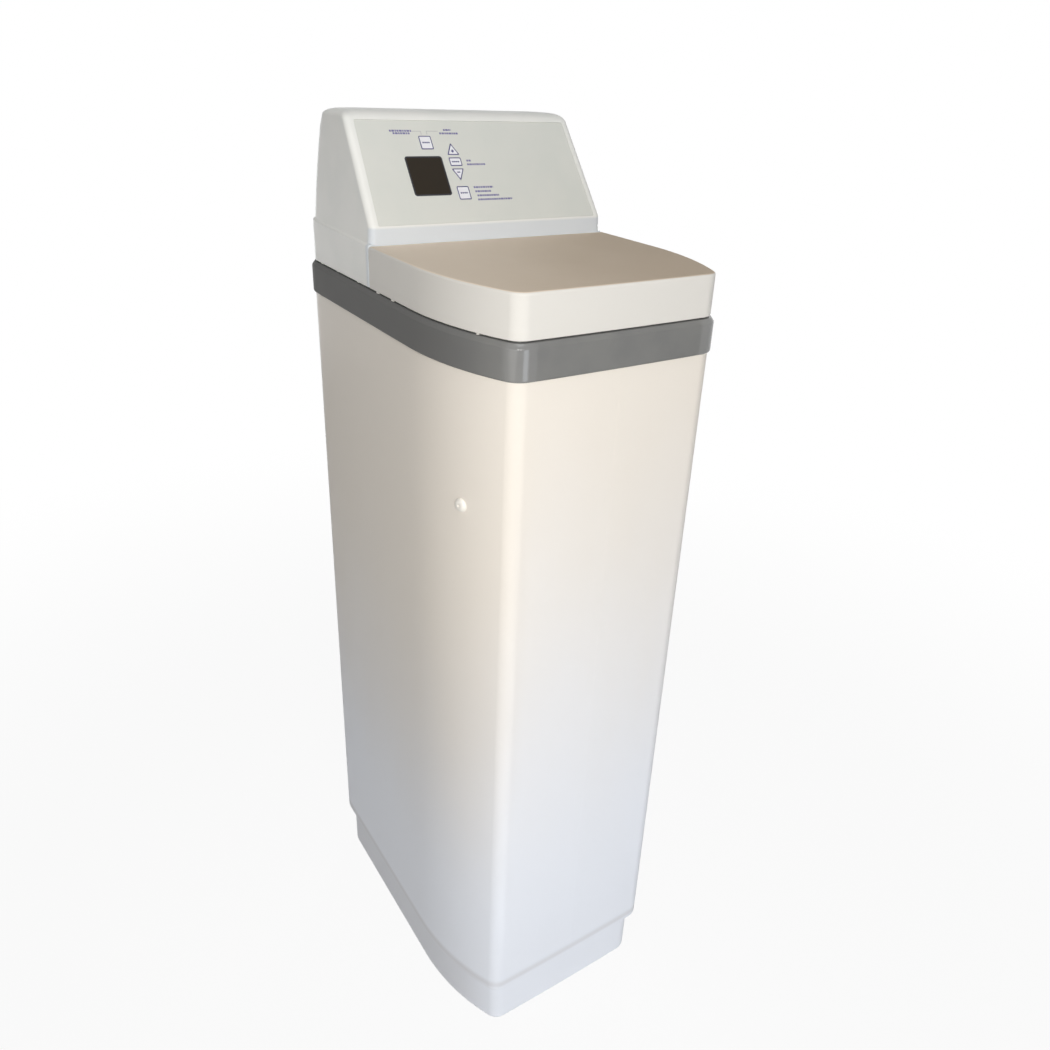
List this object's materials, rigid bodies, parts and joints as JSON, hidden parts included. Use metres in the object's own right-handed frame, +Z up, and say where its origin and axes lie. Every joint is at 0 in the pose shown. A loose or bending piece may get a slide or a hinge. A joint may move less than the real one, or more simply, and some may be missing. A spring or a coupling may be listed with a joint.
{
  "type": "cabinet water softener",
  "caption": "Tall white cabinet water softener with a lift-off salt lid, a sloped key panel over a geared piston valve, a resin vessel, a brine well and a rear bypass.",
  "frame": {"origin": "on the floor under the middle of the cabinet's plan", "axes": "+Z up, -Y out of the front, +X to the right seen from the front"},
  "size_m": [0.32, 0.521, 1.141],
  "materials": {
    "cabinet_white": "satin blown polyethylene",
    "collar_grey": "fine grain",
    "cover_white": "semi-gloss moulded",
    "fascia_film": "printed satin film",
    "display_lens": "smoked window",
    "key_white": "satin",
    "board_green": "solder mask",
    "black_plastic": "moulded",
    "steel": "zinc plated",
    "motor_metal": "plated can",
    "brass": "cut",
    "vessel_blue": "wound fibre",
    "resin_amber": "beads",
    "natural_plastic": "natural moulded",
    "seal_rubber": "moulded",
    "valve_black": "glass-filled moulded",
    "handle_red": "moulded",
    "float_orange": "moulded"
  },
  "bodies": {
    "cabinet": {"cabinet": "cabinet_white", "collar": "collar_grey", "resin_tank": "vessel_blue", "tank_boot": "black_plastic", "resin_bed": "resin_amber", "riser_tube": "natural_plastic", "lower_basket": "natural_plastic", "upper_basket": "natural_plastic", "neck_seal": "seal_rubber", "valve_body": "valve_black", "drive_cap": "valve_black", "seal_spacers": "natural_plastic", "lip_seals": "seal_rubber", "drive_bracket": "valve_black", "bracket_screws": "steel", "drive_motor": "motor_metal", "injector": "handle_red", "injector_cap": "valve_black", "brine_elbow": "black_plastic", "drain_elbow": "black_plastic", "meter_cage": "valve_black", "union_nuts": "valve_black", "bypass_body": "valve_black", "rotor_caps": "valve_black", "brine_well": "natural_plastic", "well_bolt": "natural_plastic", "well_nut": "natural_plastic", "brine_pickup": "natural_plastic", "safety_valve": "black_plastic", "brine_line": "natural_plastic", "overflow_elbow": "valve_black", "overflow_gasket": "seal_rubber", "overflow_nut": "valve_black"},
    "head_cover": {"head_cover": "cover_white", "fascia": "fascia_film", "display_window": "display_lens", "display_module": "black_plastic", "circuit_board": "board_green", "board_parts": "black_plastic", "key_switches": "black_plastic", "board_screws": "steel", "power_socket": "black_plastic"},
    "salt_lid": {"salt_lid": "cover_white"},
    "key_top": {"key_top": "key_white"},
    "key_up": {"key_up": "key_white"},
    "key_middle": {"key_middle": "key_white"},
    "key_down": {"key_down": "key_white"},
    "key_bottom": {"key_bottom": "key_white"},
    "main_gear": {"main_gear": "natural_plastic"},
    "reduction_gear": {"reduction_gear": "natural_plastic"},
    "motor_pinion": {"motor_pinion": "brass"},
    "piston": {"piston": "natural_plastic"},
    "meter_turbine": {"meter_turbine": "float_orange"},
    "inlet_rotor": {"inlet_rotor": "handle_red"},
    "outlet_rotor": {"outlet_rotor": "handle_red"},
    "well_cap": {"well_cap": "natural_plastic"},
    "brine_float": {"brine_float": "float_orange"}
  },
  "joints": [
    {"name": "lid_lift", "type": "slide", "parent": "cabinet", "child": "salt_lid", "axis": [0, 0, 1], "range_m": [0, 0.25]},
    {"name": "cover_lift", "type": "slide", "parent": "cabinet", "child": "head_cover", "axis": [0, 0, 1], "range_m": [0, 0.2]},
    {"name": "key_top_press", "type": "slide", "parent": "head_cover", "child": "key_top", "axis": [0, 0.8131, -0.5821], "range_m": [0, 0.0005], "stiffness_N_per_m": 800},
    {"name": "key_up_press", "type": "slide", "parent": "head_cover", "child": "key_up", "axis": [0, 0.8131, -0.5821], "range_m": [0, 0.0005], "stiffness_N_per_m": 800},
    {"name": "key_middle_press", "type": "slide", "parent": "head_cover", "child": "key_middle", "axis": [0, 0.8131, -0.5821], "range_m": [0, 0.0005], "stiffness_N_per_m": 800},
    {"name": "key_down_press", "type": "slide", "parent": "head_cover", "child": "key_down", "axis": [0, 0.8131, -0.5821], "range_m": [0, 0.0005], "stiffness_N_per_m": 800},
    {"name": "key_bottom_press", "type": "slide", "parent": "head_cover", "child": "key_bottom", "axis": [0, 0.8131, -0.5821], "range_m": [0, 0.0005], "stiffness_N_per_m": 800},
    {"name": "main_gear_turn", "type": "hinge", "parent": "cabinet", "child": "main_gear", "pos_m": [0, 0.045, 0.978], "axis": [0, 1, 0], "range_deg": [0, 900]},
    {"name": "reduction_gear_turn", "type": "hinge", "parent": "cabinet", "child": "reduction_gear", "pos_m": [-0.03031, 0.045, 0.9955], "axis": [0, 1, 0], "continuous": true},
    {"name": "motor_pinion_turn", "type": "hinge", "parent": "cabinet", "child": "motor_pinion", "pos_m": [-0.06031, 0.05, 0.9955], "axis": [0, 1, 0], "continuous": true},
    {"name": "piston_stroke", "type": "slide", "parent": "cabinet", "child": "piston", "axis": [0, 1, 0], "range_m": [0, 0.02]},
    {"name": "turbine_spin", "type": "hinge", "parent": "cabinet", "child": "meter_turbine", "pos_m": [-0.044, 0.163, 0.99], "axis": [0, 1, 0], "continuous": true},
    {"name": "inlet_rotor_turn", "type": "hinge", "parent": "cabinet", "child": "inlet_rotor", "pos_m": [0.044, 0.245, 0.99], "axis": [0, 0, 1], "range_deg": [0, 90]},
    {"name": "outlet_rotor_turn", "type": "hinge", "parent": "cabinet", "child": "outlet_rotor", "pos_m": [-0.044, 0.245, 0.99], "axis": [0, 0, 1], "range_deg": [0, 90]},
    {"name": "well_cap_lift", "type": "slide", "parent": "cabinet", "child": "well_cap", "axis": [0, 0, 1], "range_m": [0, 0.025]},
    {"name": "float_rise", "type": "slide", "parent": "cabinet", "child": "brine_float", "axis": [0, 0, 1], "range_m": [0, 0.02]}
  ],
  "couplings": [
    {"joint": "main_gear_turn", "follows": "piston_stroke", "rad_per_m": 785.4},
    {"joint": "reduction_gear_turn", "follows": "piston_stroke", "rad_per_m": -2879.8},
    {"joint": "motor_pinion_turn", "follows": "piston_stroke", "rad_per_m": 8639.4}
  ]
}
